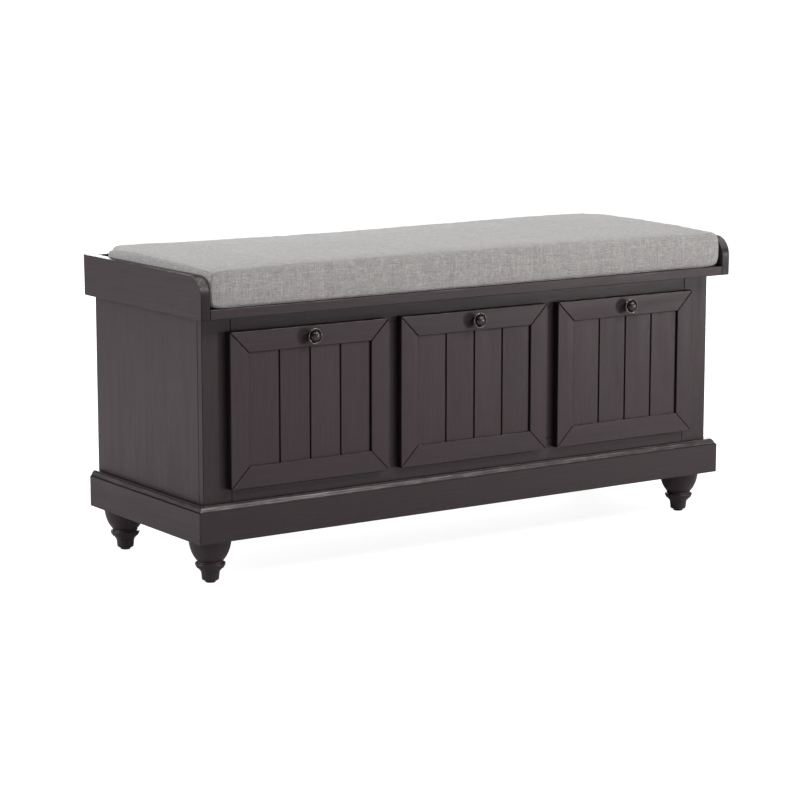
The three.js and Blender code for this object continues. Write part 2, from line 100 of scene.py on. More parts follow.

# ---- cushion ----
CUSHION_TOP = 0.5377  # the highest point of the crown
CUSHION_CROWN = 3.5 * MM  # how far the cloth may swell from its first shape
CUSHION_RADII = (5 * MM, 4 * MM, 4.5 * MM)  # of its rounded edges, along X, Y and Z
CUSHION_STEP = 9 * MM
HELD_BACK = (0.35, 0.60, 0.40)  # share of the swelling that the tray's boards and the foam allow
RIM_CUTS = 5  # cuts from a panel's flat to its seam
SEAM_DEPTH = 1.3 * MM
CORNER_REACH = 12 * MM
UPRIGHT_REACH = 1.6 * CORNER_REACH
CORNER_TUCK = (4 * MM, 2 * MM, 3 * MM)  # how far each of the eight corners draws in
TOP_SLOPE = 6 * MM  # how much lower the top is at the front than at the back
FRONT_DROOP = 0.6 * MM  # how much further it drops at its front edge
FRONT_REACH = 0.12  # of that drop, as a share of half the cushion's width
BACK_TUCK = 9 * MM  # how far the two upright edges at the back draw in
START_INSET = (0.5 * MM, 2.5 * MM, 0.5 * MM)  # of the first shape, inside the cushion's space
OVERFILL = (2.2 * MM, 0.8 * MM)  # how far the finished sides press past that space, along X and Y
WAVE_HEIGHT = 0.8 * MM
WAVES = 13  # to a metre
FOLD_HEIGHT = 0.9 * MM
FOLDS = (55, 55, 14)  # to a metre, along X, Y and Z
FOLD_REACH = 16 * MM  # how far the folds run from a seam
CLOTH_PRESSURE = 4.0
CLOTH_FRAMES = 20


# ======== node graphs ========
class Graph:
    """The node tree of one material. Most calls add a node and return the socket that it gives."""

    def __init__(self, name):
        self.material = bpy.data.materials.new(name)
        self.material.use_nodes = True
        self.tree = self.material.node_tree
        self.shader = self.tree.nodes["Principled BSDF"]

    def feed(self, socket, value):
        if isinstance(value, bpy.types.NodeSocket):
            self.tree.links.new(value, socket)
        else:
            socket.default_value = value

    def surface(self, **values):
        """Sets the shader's sockets by name, with _ for a space."""
        for name, value in values.items():
            self.feed(self.shader.inputs[name.replace("_", " ")], value)

    def place(self):
        return self.tree.nodes.new("ShaderNodeTexCoord").outputs["Object"]

    def facing(self):
        return self.tree.nodes.new("ShaderNodeTexCoord").outputs["Normal"]

    def board_number(self):
        """A number from 0 to 1, different for each object."""
        return self.tree.nodes.new("ShaderNodeObjectInfo").outputs["Random"]

    def math(self, operation, *values):
        made = self.tree.nodes.new("ShaderNodeMath")
        made.operation = operation
        for socket, value in zip(made.inputs, values):
            self.feed(socket, value)
        return made.outputs[0]

    def plus(self, first, second):
        return self.math("ADD", first, second)

    def minus(self, first, second):
        return self.math("SUBTRACT", first, second)

    def times(self, first, second):
        return self.math("MULTIPLY", first, second)

    def larger(self, first, second):
        return self.math("MAXIMUM", first, second)

    def positive(self, value):
        return self.math("ABSOLUTE", value)

    def vector(self, operation, *values):
        made = self.tree.nodes.new("ShaderNodeVectorMath")
        made.operation = operation
        for socket, value in zip(made.inputs, values):
            self.feed(socket, value)
        return made.outputs[0]

    def parts(self, vector):
        made = self.tree.nodes.new("ShaderNodeSeparateXYZ")
        self.feed(made.inputs[0], vector)
        return made.outputs[:]

    def joined(self, x, y, z):
        made = self.tree.nodes.new("ShaderNodeCombineXYZ")
        for socket, value in zip(made.inputs, (x, y, z)):
            self.feed(socket, value)
        return made.outputs[0]

    def noise(self, place, scale, detail=2.0, roughness=0.5, distortion=0.0):
        """Noise over place, which is first stretched by scale."""
        made = self.tree.nodes.new("ShaderNodeTexNoise")
        self.feed(made.inputs["Vector"], self.vector("MULTIPLY", place, scale))
        made.inputs["Scale"].default_value = 1.0
        made.inputs["Detail"].default_value = detail
        made.inputs["Roughness"].default_value = roughness
        made.inputs["Distortion"].default_value = distortion
        return made.outputs["Fac"]

    def white_noise(self, value):
        made = self.tree.nodes.new("ShaderNodeTexWhiteNoise")
        made.noise_dimensions = "1D"
        self.feed(made.inputs["W"], value)
        return made.outputs["Value"]

    def spread(self, value, low, high, to_low=0.0, to_high=1.0):
        """Value brought from low..high to to_low..to_high, and kept there."""
        made = self.tree.nodes.new("ShaderNodeMapRange")
        made.interpolation_type = "SMOOTHSTEP"
        for socket, number in zip(made.inputs, (value, low, high, to_low, to_high)):
            self.feed(socket, number)
        return made.outputs[0]

    def mix(self, share, first, second):
        """The first colour at a share of 0, and the second at 1."""
        made = self.tree.nodes.new("ShaderNodeMix")
        made.data_type = "RGBA"
        colours = [socket for socket in made.inputs if socket.type == "RGBA"]
        self.feed(made.inputs[0], share)
        self.feed(colours[0], first)
        self.feed(colours[1], second)
        return [socket for socket in made.outputs if socket.type == "RGBA"][0]

    def brighter(self, colour, amount):
        """Colour multiplied by a number."""
        made = self.tree.nodes.new("ShaderNodeVectorMath")
        made.operation = "SCALE"
        self.feed(made.inputs[0], colour)
        self.feed(made.inputs["Scale"], amount)
        return made.outputs[0]

    def bump(self, height, distance, below=None):
        """The normal of a relief, which may lie over the normal of another one."""
        made = self.tree.nodes.new("ShaderNodeBump")
        made.inputs["Strength"].default_value = 1.0
        made.inputs["Distance"].default_value = distance
        self.feed(made.inputs["Height"], height)
        if below is not None:
            self.feed(made.inputs["Normal"], below)
        return made.outputs["Normal"]


def stretched(along, across, grain):
    """Scales for a pattern that runs along the grain."""
    scale = [across] * 3
    scale[grain] = along
    return tuple(scale)


# ======== materials ========
WOOD_DARK = (0.0350, 0.0240, 0.0275, 1)
WOOD_MIDDLE = (0.0440, 0.0305, 0.0350, 1)
WOOD_LIGHT = (0.0840, 0.0660, 0.0700, 1)
WOOD_WARM = (0.0500, 0.0325, 0.0365, 1)
# worn-through finish with a painted highlight, for eased edges that face up
WOOD_WORN_AND_HIGHLIT = (0.1900, 0.1700, 0.1700, 1)
# painted shade in grooves, steps, mitres and on edges, and the darker end grain
WOOD_SHADE_AND_END_GRAIN = (0.0050, 0.0035, 0.0040, 1)
SIDE_DARKNESS = 0.70  # on end grain; painted shade on the doors' side edges and on the plinth's top faces
DOOR_TOP_SHADE = 0.95  # painted shade on the doors' top and bottom edges
TRAY_WEAR_AND_HIGHLIGHT = 1.0  # how far the finish is worn through, with a painted highlight, on the tray's side boards
PLINTH_WEAR_AND_HIGHLIGHT = (0.85, 0.25)  # and on the plinth's front board and its side boards, more on the front where the highlight is painted
PLINTH_SHADE_TONE = 0.85  # painted shade: brightness beside the other boards, darker low by the floor
# painted shade: the face frame's stiles are made darker than the other boards
STILE_SHADE_TONE = 0.88
BOARD_SHIFT = 37.0  # how far apart two boards may lie in the pattern of the grain
PLANK_SHIFT = 53.0  # and two planks of one panel
GROOVE_WIDTH = 3.4 * MM
PLANKS = 4
MOULDING_HEIGHT = 9.4 * MM


def edge_wear_highlight_and_shade(graph, place, grain, mitred):
    """How far up-facing eased edges are worn and carry a painted highlight, and the painted shade on the
    others.

    Where boards are mitred, the edges of the mitres get painted shade whichever way they face.
    """
    x, y, z = graph.parts(graph.facing())
    flat = graph.larger(graph.positive(x), graph.positive(y))
    slant = graph.spread(graph.larger(flat, graph.positive(z)), 0.985, 0.90)
    upwards = graph.spread(z, 0.15, 0.50)
    level = graph.spread(z, 0.10, 0.02)
    scuffs = graph.noise(place, stretched(24, 620, grain), detail=3.0, roughness=0.6)
    patches = graph.noise(place, (16, 16, 16), detail=2.0)
    worn = graph.times(graph.spread(scuffs, 0.40, 0.62), graph.spread(patches, 0.34, 0.58))
    if mitred:
        sideways = graph.spread(graph.positive(x), 0.03, 0.12)
        level = graph.larger(level, sideways)
        worn = graph.times(worn, graph.minus(1.0, sideways))
    rubbed_and_highlit = graph.times(graph.times(slant, upwards), worn)
    shade_on_edges = graph.times(slant, level)
    return rubbed_and_highlit, shade_on_edges


def dark_sides(graph, sides):
    """How much darker the faces along some axes are. sides holds each axis and its darkness."""
    facing = graph.parts(graph.vector("ABSOLUTE", graph.facing()))
    share = 0.0
    for axis, darkness in sides.items():
        faces_along = graph.spread(facing[axis], 0.55, 0.98)
        share = graph.larger(share, graph.times(faces_along, darkness))
    return share


def plank_pattern(graph, planks, shift):
    """A number for the plank that a place is in, and how much of a groove there is at that place."""
    first, width, half_groove = planks
    generated = graph.tree.nodes.new("ShaderNodeTexCoord").outputs["Generated"]
    across = graph.math("DIVIDE", graph.minus(graph.parts(generated)[X], first), width)
    number = graph.white_noise(graph.plus(graph.math("FLOOR", across), shift))
    from_middle = graph.positive(graph.minus(graph.math("FRACT", across), 0.5))
    reach = half_groove / width
    return number, graph.spread(from_middle, 0.5 - reach * 1.1, 0.5 - reach * 0.9)


def stained(graph, place, grain):
    """The colour of the stained wood, and the height of its grain."""
    figure = graph.noise(place, stretched(2.2, 26, grain), detail=4.0, roughness=0.55, distortion=0.5)
    fibres = graph.noise(place, stretched(9, 420, grain), detail=5.0, roughness=0.62)
    streaks = graph.noise(place, stretched(26, 620, grain), detail=2.0, roughness=0.5)
    pores = graph.noise(place, stretched(38, 1300, grain), detail=1.0)
    clouds = graph.noise(place, (6, 6, 6), detail=3.0)
    light_streaks = graph.spread(streaks, 0.58, 0.74)
    dark_pores = graph.spread(pores, 0.40, 0.27)
    pattern = graph.plus(graph.times(figure, 0.25), graph.times(fibres, 0.75))
    colour = graph.mix(graph.spread(pattern, 0.30, 0.70), WOOD_DARK, WOOD_MIDDLE)
    colour = graph.mix(graph.times(graph.spread(clouds, 0.45, 0.70), 0.20), colour, WOOD_WARM)
    colour = graph.mix(graph.times(light_streaks, 0.14), colour, WOOD_LIGHT)
    colour = graph.mix(graph.times(dark_pores, 0.30), colour, WOOD_DARK)
    return colour, graph.minus(graph.times(fibres, 0.7), graph.times(dark_pores, 0.6))


def wood(name, grain, planks=None, rubbed_and_highlit=0.75, sides=None, line=None, tone=1.0, mitred=False):
    """Dark stained wood with its grain along one axis.

    planks is where the first plank begins, how wide one is and how wide half a groove is, as shares of
    the panel's width; the grooves get painted shade. rubbed_and_highlit is how far up-facing eased edges
    are worn through and given a painted highlight. sides gives the axes whose faces are darker, and how
    much, for end grain and for painted shade. line is a height where a painted shade line lies in a
    step.
    tone is how bright the boards are beside the others; below 1 it is painted shade. mitred boards have
    painted shade along their mitres.
    """
    graph = Graph(name)
    number = graph.board_number()
    shift = graph.times(number, BOARD_SHIFT)
    groove = None
    if planks:
        number, groove = plank_pattern(graph, planks, shift)
        shift = graph.times(number, PLANK_SHIFT)
    place = graph.vector("ADD", graph.place(), graph.joined(shift, shift, shift))

    colour, relief = stained(graph, place, grain)
    # painted shade on eased edges that don't face up and along mitres; a painted highlight with real
    # wear on those that face up
    if rubbed_and_highlit:
        wear_and_highlight, edge_shade = edge_wear_highlight_and_shade(graph, place, grain, mitred)
        colour = graph.mix(graph.times(edge_shade, 0.85), colour, WOOD_SHADE_AND_END_GRAIN)
        colour = graph.mix(graph.times(wear_and_highlight, rubbed_and_highlit), colour, WOOD_WORN_AND_HIGHLIT)
    # darker faces: end grain on the tray's side boards, painted shade on the doors' edges and the
    # plinth's tops
    if sides:
        colour = graph.mix(dark_sides(graph, sides), colour, WOOD_SHADE_AND_END_GRAIN)
    # painted shade in the planks' grooves
    if groove is not None:
        colour = graph.mix(groove, colour, WOOD_SHADE_AND_END_GRAIN)
    # a painted shade line in the step under the plinth's moulding
    if line is not None:
        off_line = graph.positive(graph.minus(graph.parts(graph.place())[Z], line))
        colour = graph.mix(graph.spread(off_line, 1.3 * MM, 0.6 * MM), colour, WOOD_SHADE_AND_END_GRAIN)
    # each board's random tone, times tone, which below 1 is painted shade
    colour = graph.brighter(colour, graph.spread(number, 0.0, 1.0, 0.95 * tone, 1.06 * tone))

    polish = graph.noise(place, stretched(5, 60, grain), detail=3.0)
    normal = graph.bump(relief, 0.10 * MM)
    normal = graph.bump(graph.noise(place, (18, 18, 18), detail=2.0), 0.25 * MM, normal)
    graph.surface(Base_Color=colour, Roughness=graph.spread(polish, 0.3, 0.7, 0.34, 0.46), Normal=normal)
    graph.surface(Coat_Weight=0.06, Coat_Roughness=0.25, Specular_IOR_Level=0.26)
    return graph.material


RAW_DARK = (0.30, 0.19, 0.105, 1)
RAW_LIGHT = (0.52, 0.37, 0.23, 1)


def raw_wood(name, grain):
    """Unfinished timber for the parts that nobody sees."""
    graph = Graph(name)
    shift = graph.times(graph.board_number(), BOARD_SHIFT)
    place = graph.vector("ADD", graph.place(), graph.joined(shift, shift, shift))
    figure = graph.noise(place, stretched(3, 40, grain), detail=4.0, distortion=0.6)
    fibres = graph.noise(place, stretched(12, 420, grain), detail=4.0)
    tone = graph.plus(graph.times(figure, 0.6), graph.times(fibres, 0.4))
    colour = graph.mix(graph.spread(tone, 0.3, 0.7), RAW_DARK, RAW_LIGHT)
    roughness = graph.spread(fibres, 0.3, 0.7, 0.62, 0.80)
    graph.surface(Base_Color=colour, Roughness=roughness, Normal=graph.bump(fibres, 0.3 * MM))
    return graph.material


THREAD = 1.1 * MM
LINEN_DARK = (0.145, 0.137, 0.137, 1)
LINEN_GREY = (0.330, 0.323, 0.320, 1)
LINEN_PALE = (0.420, 0.414, 0.410, 1)
LINEN_LIGHT = (0.640, 0.630, 0.620, 1)


def yarn(graph, across, along, seed):
    """Dark and light share of each yarn: some yarns are thick or pale for a short way, most are even."""
    thread = graph.math("FLOOR", graph.math("DIVIDE", across, THREAD))
    own = graph.white_noise(graph.plus(graph.times(thread, 1.37), seed))
    place = graph.joined(graph.times(thread, 7.31), graph.times(along, 85.0), seed)
    slub = graph.noise(place, (1, 1, 1), detail=1.0, roughness=0.5)
    slub = graph.plus(slub, graph.times(graph.minus(own, 0.5), 0.14))
    return graph.spread(slub, 0.40, 0.30), graph.spread(slub, 0.58, 0.70)


def linen(name):
    """Heathered grey linen in plain weave, its yarns along the cushion's length and across it."""
    graph = Graph(name)
    place = graph.place()
    x, y, z = graph.parts(place)
    normal_x, _, normal_z = graph.parts(graph.vector("ABSOLUTE", graph.facing()))
    on_end = graph.spread(normal_x, 0.6, 0.8)
    on_top = graph.spread(normal_z, 0.6, 0.8)

    def either(share, first, second):
        rest = graph.minus(1.0, share)
        return graph.plus(graph.times(share, second), graph.times(rest, first))

    u = either(on_end, x, y)
    v = either(on_top, z, y)
    warp_dark, warp_light = yarn(graph, u, v, 3.7)
    weft_dark, weft_light = yarn(graph, v, u, 41.3)
    wave_u = graph.math("SINE", graph.times(u, math.pi / THREAD))
    wave_v = graph.math("SINE", graph.times(v, math.pi / THREAD))
    over = graph.spread(graph.times(wave_u, wave_v), -0.2, 0.2)
    dark = either(over, warp_dark, weft_dark)
    light = either(over, warp_light, weft_light)

    heather = graph.noise(place, (1500, 1500, 1500), detail=2.0)
    colour = graph.mix(graph.spread(heather, 0.35, 0.65), LINEN_GREY, LINEN_PALE)
    colour = graph.mix(graph.times(dark, 0.60), colour, LINEN_DARK)
    colour = graph.mix(graph.times(light, 0.62), colour, LINEN_LIGHT)
    mound = graph.math("SQRT", graph.positive(graph.times(wave_u, wave_v)))
    # painted shade between the yarns, darker where the weave dips
    colour = graph.brighter(colour, graph.spread(mound, 0.0, 0.6, 0.80, 1.01))
    normal = graph.bump(mound, 0.20 * MM)
    thickness = graph.minus(light, dark)
    normal = graph.bump(thickness, 0.15 * MM, normal)
    roughness = graph.spread(thickness, -1.0, 1.0, 0.97, 0.88)
    graph.surface(Base_Color=colour, Roughness=roughness, Normal=normal)
    graph.surface(Sheen_Weight=0.25, Sheen_Roughness=0.45, Specular_IOR_Level=0.25)
    return graph.material


PEWTER_DARK = (0.045, 0.041, 0.037, 1)
PEWTER_LIGHT = (0.130, 0.120, 0.110, 1)
PEWTER_HOLLOW = (0.018, 0.015, 0.013, 1)
PEWTER_RIM = (0.170, 0.158, 0.160, 1)


def aged_pewter(name):
    """Turned metal with a dark patina that stays in the hollows. The axis of the turning is local Z."""
    graph = Graph(name)
    place = graph.place()
    x, y, z = graph.parts(place)
    radius = graph.math("SQRT", graph.plus(graph.times(x, x), graph.times(y, y)))
    inner_side = graph.spread(radius, 9.2 * MM, 10.2 * MM)
    outer_side = graph.spread(radius, 12.2 * MM, 11.2 * MM)
    hollow = graph.times(inner_side, outer_side)  # between the knob's dome and its rim
    spots = graph.noise(place, (420, 420, 420), detail=4.0, roughness=0.6)
    colour = graph.mix(graph.spread(spots, 0.35, 0.70), PEWTER_DARK, PEWTER_LIGHT)
    colour = graph.mix(graph.times(hollow, 0.85), colour, PEWTER_HOLLOW)
    colour = graph.mix(graph.spread(radius, 11.4 * MM, 12.4 * MM), colour, PEWTER_RIM)
    turning = graph.noise(graph.joined(radius, 0.0, z), (5200, 1, 5200), detail=1.0)
    roughness = graph.spread(spots, 0.3, 0.7, 0.42, 0.26)
    graph.surface(Base_Color=colour, Roughness=roughness, Metallic=0.9)
    graph.surface(Normal=graph.bump(turning, 0.015 * MM, graph.bump(spots, 0.05 * MM)))
    return graph.material


STEEL_DARK = (0.120, 0.112, 0.105, 1)
STEEL_LIGHT = (0.190, 0.180, 0.170, 1)
STEEL_BRUSHED = (0.230, 0.218, 0.205, 1)


def hinge_steel(name, brightness=1.0):
    """Dark plated steel, brushed along the bench's length."""
    graph = Graph(name)
    place = graph.place()
    brushed = graph.noise(place, (14, 1500, 1500), detail=3.0)
    stains = graph.noise(place, (70, 70, 70), detail=3.0)
    colour = graph.mix(graph.spread(stains, 0.35, 0.7), STEEL_DARK, STEEL_LIGHT)
    colour = graph.mix(graph.spread(brushed, 0.35, 0.65), colour, STEEL_BRUSHED)
    colour = graph.brighter(colour, brightness)
    roughness = graph.spread(stains, 0.25, 0.75, 0.36, 0.48)
    graph.surface(Base_Color=colour, Roughness=roughness, Metallic=0.9)
    graph.surface(Normal=graph.bump(brushed, 0.005 * MM))
    return graph.material


CATCH_DARK = (0.030, 0.024, 0.020, 1)
CATCH_LIGHT = (0.055, 0.046, 0.040, 1)
GLIDE_DARK = (0.016, 0.014, 0.013, 1)
GLIDE_LIGHT = (0.040, 0.037, 0.034, 1)


def moulded_plastic(name, dark, light, roughness):
    """Moulded plastic with a fine spark-eroded texture and faint scuffs."""
    graph = Graph(name)
    place = graph.place()
    texture = graph.noise(place, (2600, 2600, 2600), detail=2.0)
    scuffs = graph.noise(place, (160, 420, 160), detail=4.0, distortion=1.0)
    colour = graph.mix(graph.spread(scuffs, 0.4, 0.75), dark, light)
    shine = graph.spread(scuffs, 0.3, 0.7, roughness - 0.06, roughness + 0.10)
    graph.surface(Base_Color=colour, Roughness=shine, Normal=graph.bump(texture, 0.04 * MM))
    return graph.material


# ======== carried-over CAD nodes ========
def clean_surface_group():
    """Geometry nodes that join a mesh's split corners and shade it smooth."""
    group = bpy.data.node_groups.new("clean_surface", "GeometryNodeTree")
    group.interface.new_socket("Geometry", in_out="INPUT", socket_type="NodeSocketGeometry")
    group.interface.new_socket("Geometry", in_out="OUTPUT", socket_type="NodeSocketGeometry")
    flow = group.nodes.new("NodeGroupInput").outputs[0]
    for attribute in ("custom_normal", "sharp_edge", "sharp_face"):
        remove = group.nodes.new("GeometryNodeRemoveAttribute")
        remove.inputs["Name"].default_value = attribute
        group.links.new(flow, remove.inputs["Geometry"])
        flow = remove.outputs["Geometry"]
    merge = group.nodes.new("GeometryNodeMergeByDistance")
    merge.inputs["Distance"].default_value = JOINED_WITHIN
    group.links.new(flow, merge.inputs["Geometry"])
    group.links.new(merge.outputs["Geometry"], group.nodes.new("NodeGroupOutput").inputs[0])
    return group


CLEAN_SURFACE = clean_surface_group()


def ease_edges(piece, width):
    """Joins a node's flat triangles into faces and rounds its edges a little."""
    clean = piece.modifiers.new("clean", "NODES")
    clean.node_group = CLEAN_SURFACE
    flat = piece.modifiers.new("flat", "DECIMATE")
    flat.decimate_type = "DISSOLVE"
    flat.angle_limit = math.radians(FLAT_WITHIN)
    bevel = piece.modifiers.new("eased_edges", "BEVEL")
    bevel.width = width
    bevel.segments = 2
    bevel.limit_method = "ANGLE"
    bevel.angle_limit = math.radians(BEVELLED_FROM)
    normals = piece.modifiers.new("normals", "WEIGHTED_NORMAL")
    normals.weight = 100


def finish_node(name, material, edge):
    """Gives a carried-over node its material and its edges' width."""
    piece = NODES[name]
    piece.data.materials.clear()
    piece.data.materials.append(material)
    ease_edges(piece, edge)


CARCASS_BOARDS = {
    X: ("seat_board", "tray_back_board", "frame_top_rail", "frame_bottom_rail", "storage_floor",
        "back_panel"),
    Z: ("end_panel_left", "end_panel_right", "divider_left", "divider_right", "frame_mid_stile_left",
        "frame_mid_stile_right"),
}


def finish_carcass():
    along = [wood(f"espresso_wood_{AXIS_LETTERS[axis]}", axis) for axis in (X, Y, Z)]
    # the stiles' darker tone is painted shade
    stile = wood("espresso_wood_stile", Z, tone=STILE_SHADE_TONE)
    tray_side = wood("espresso_wood_tray_side", Y, rubbed_and_highlit=TRAY_WEAR_AND_HIGHLIGHT, sides={Y: SIDE_DARKNESS})
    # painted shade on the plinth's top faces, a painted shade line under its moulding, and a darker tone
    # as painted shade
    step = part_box("plinth_front")[1][Z] - MOULDING_HEIGHT
    plinth = [
        wood(f"espresso_wood_plinth_{AXIS_LETTERS[axis]}", axis, rubbed_and_highlit=PLINTH_WEAR_AND_HIGHLIGHT[axis],
             sides={Z: SIDE_DARKNESS}, line=step, tone=PLINTH_SHADE_TONE)
        for axis in (X, Y)
    ]
    for axis, names in CARCASS_BOARDS.items():
        for name in names:
            finish_node(name, along[axis], BOARD_EDGE)
    for side in ("left", "right"):
        finish_node(f"frame_stile_{side}", stile, BOARD_EDGE)
        finish_node(f"tray_side_{side}", tray_side, BOARD_EDGE)
        finish_node(f"plinth_{side}", plinth[Y], BOARD_EDGE)
    finish_node("plinth_front", plinth[X], BOARD_EDGE)


def plank_shares():
    """The first plank's start, a plank's width and half a groove's, as shares of the panel's width."""
    low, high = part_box("door_left_panel")
    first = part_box("door_left_left_stile")[1][X]
    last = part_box("door_left_right_stile")[0][X]
    width = high[X] - low[X]
    return (first - low[X]) / width, (last - first) / PLANKS / width, GROOVE_WIDTH / 2 / width


def finish_doors():
    # painted shade on the door frames' side, top and bottom edges
    sides = {X: SIDE_DARKNESS, Z: DOOR_TOP_SHADE}
    rail_wood = wood("espresso_wood_door_x", X, sides=sides, mitred=True)
    stile_wood = wood("espresso_wood_door_z", Z, sides=sides, mitred=True)
    plank_wood = wood("espresso_wood_planks", Z, planks=plank_shares())
    for name in DOORS:
        for rail in ("top_rail", "bottom_rail"):
            finish_node(f"door_{name}_{rail}", rail_wood, DOOR_EDGE)
        for stile in ("left_stile", "right_stile"):
            finish_node(f"door_{name}_{stile}", stile_wood, DOOR_EDGE)
        finish_node(f"door_{name}_panel", plank_wood, PANEL_EDGE)


def finish_cleats():
    bare = raw_wood("raw_wood_y", Y)
    for side in ("left", "right"):
        finish_node(f"foot_cleat_{side}", bare, CLEAT_EDGE)


def finish_hardware():
    steel = hinge_steel("hinge_steel_brushed")
    catch = moulded_plastic("catch_plastic_moulded", CATCH_DARK, CATCH_LIGHT, roughness=0.50)
    glide = moulded_plastic("glide_plastic_moulded", GLIDE_DARK, GLIDE_LIGHT, roughness=0.55)
    for door in DOORS:
        finish_node(f"hinge_{door}_frame_leaf", steel, LEAF_EDGE)
        finish_node(f"hinge_{door}_door_leaf", steel, LEAF_EDGE)
        finish_node(f"strike_plate_{door}", steel, PLATE_EDGE)
        finish_node(f"magnet_catch_{door}", catch, CATCH_EDGE)
    for side in ("left", "right"):
        for end in ("front", "back"):
            finish_node(f"glide_{end}_{side}", glide, GLIDE_EDGE)


# ======== turned pieces ========
FOOT_SEGMENTS = 72
KNOB_SEGMENTS = 64
SHARP_FROM = 38  # degrees between two faces of a turned piece


def bend(start, pull, end, steps):
    """Points of a curve from start to end that is drawn towards pull, without its start."""
    points = []
    for i in range(1, steps + 1):
        t = i / steps
        weighted = list(zip(((1 - t) ** 2, 2 * t * (1 - t), t * t), (start, pull, end)))
        points.append(tuple(sum(weight * point[axis] for weight, point in weighted) for axis in (0, 1)))
    return points


def arc(centre, radius, start, end, steps):
    """Points of an arc in degrees, 0 pointing outwards and 90 along the axis."""
    angles = [math.radians(start + (end - start) * i / steps) for i in range(steps + 1)]
    return [(centre[0] + radius * math.cos(a), centre[1] + radius * math.sin(a)) for a in angles]


def new_piece(name, points, faces, material):
    mesh = bpy.data.meshes.new(name)
    mesh.from_pydata(points, [], faces)
    mesh.update()
    mesh.materials.append(material)
    piece = bpy.data.objects.new(name, mesh)
    bpy.context.scene.collection.objects.link(piece)
    return piece


def turned(name, profile, segments, material):
    """A solid turned about local Z. The profile runs from the axis to the axis, as (radius, height)."""
    points = [(0, 0, profile[0][1])]
    rings = profile[1:-1]
    for radius, height in rings:
        for i in range(segments):
            angle = 2 * math.pi * i / segments
            points.append((radius * math.cos(angle), radius * math.sin(angle), height))
    points.append((0, 0, profile[-1][1]))
    last = len(points) - 1
    faces = []
    for i in range(segments):
        following = (i + 1) % segments
        faces.append((0, 1 + following, 1 + i))
        for ring in range(len(rings) - 1):
            low = 1 + ring * segments
            high = low + segments
            faces.append((low + i, low + following, high + following, high + i))
        top = 1 + (len(rings) - 1) * segments
        faces.append((top + i, top + following, last))
    piece = new_piece(name, points, faces, material)
    piece.data.shade_smooth()
    piece.data.set_sharp_from_angle(angle=math.radians(SHARP_FROM))
    return piece


def foot_profile(height):
    """Radii and heights of a foot in mm, from its flat underside up to a given height."""
    toe = 14.3
    points = [(0, 0), (toe - 2.0, 0), (toe, 1.6)]
    points += bend((toe, 1.6), (14.9, 8.0), (15.6, 13.4), 4)
    points += bend((15.6, 13.4), (16.0, 15.4), (17.4, 17.2), 4)
    points += [(18.0, 17.3), (18.3, 18.1)]
    points += bend((18.3, 18.1), (20.2, 20.4), (21.9, 21.6), 4)
    points += [(22.6, 21.6), (22.9, 22.5)]
    points += bend((22.9, 22.5), (24.4, 24.2), (25.0, 26.6), 4)
    points += arc((23.4, 28.2), 2.1, -30, 80, 8)
    points += bend((23.4, 30.3), (20.6, 30.6), (21.9, 33.6), 6)
    points += bend((21.9, 33.6), (32.4, 45.0), (35.5, 65.0), 14)
    points += [(35.5, height - 0.6), (34.9, height), (0, height)]
    return points


def add_feet():
    material = wood("espresso_wood_turned", Z, rubbed_and_highlit=0)
    for side in ("left", "right"):
        for end in ("front", "back"):
            node = f"foot_{end}_{side}"
            low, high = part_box(node)
            profile = [(r * MM, z * MM) for r, z in foot_profile((high[Z] - low[Z]) / MM)]
            foot = turned(f"turned_{node}", profile, FOOT_SEGMENTS, material)
            foot.location = ((low[X] + high[X]) / 2, (low[Y] + high[Y]) / 2, low[Z])
            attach(foot, "carcass")
            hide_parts(node)


def knob_profile(reach):
    """Radii and distances from the door of a knob in mm."""
    rim = 12.45
    points = [(0, 0), (7.0, 0), (7.3, 0.5), (7.0, 1.3)]
    points += bend((7.0, 1.3), (4.4, 1.8), (4.3, 6.0), 6)
    points += bend((4.3, 6.0), (4.8, 10.6), (rim - 0.4, 11.9), 10)
    points += arc((rim, 12.95), 1.05, -90, 150, 12)
    points += bend((rim - 0.9, 13.5), (11.0, 12.4), (10.4, 12.3), 4)
    points += bend((10.4, 12.3), (9.7, 12.4), (9.6, 13.2), 4)
    points += bend((9.6, 13.2), (8.9, 19.0), (2.4, reach - 0.1), 12)
    points += [(0, reach)]
    return points


def add_knobs():
    material = aged_pewter("aged_pewter_turned")
    for door in DOORS:
        node = f"knob_{door}"
        low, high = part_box(node)
        profile = [(r * MM, z * MM) for r, z in knob_profile((high[Y] - low[Y]) / MM)]
        knob = turned(f"turned_{node}", profile, KNOB_SEGMENTS, material)
        knob.location = ((low[X] + high[X]) / 2, high[Y], (low[Z] + high[Z]) / 2)
        knob.rotation_euler = (math.pi / 2, 0, 0)
        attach(knob, f"door_{door}")
        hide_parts(node)


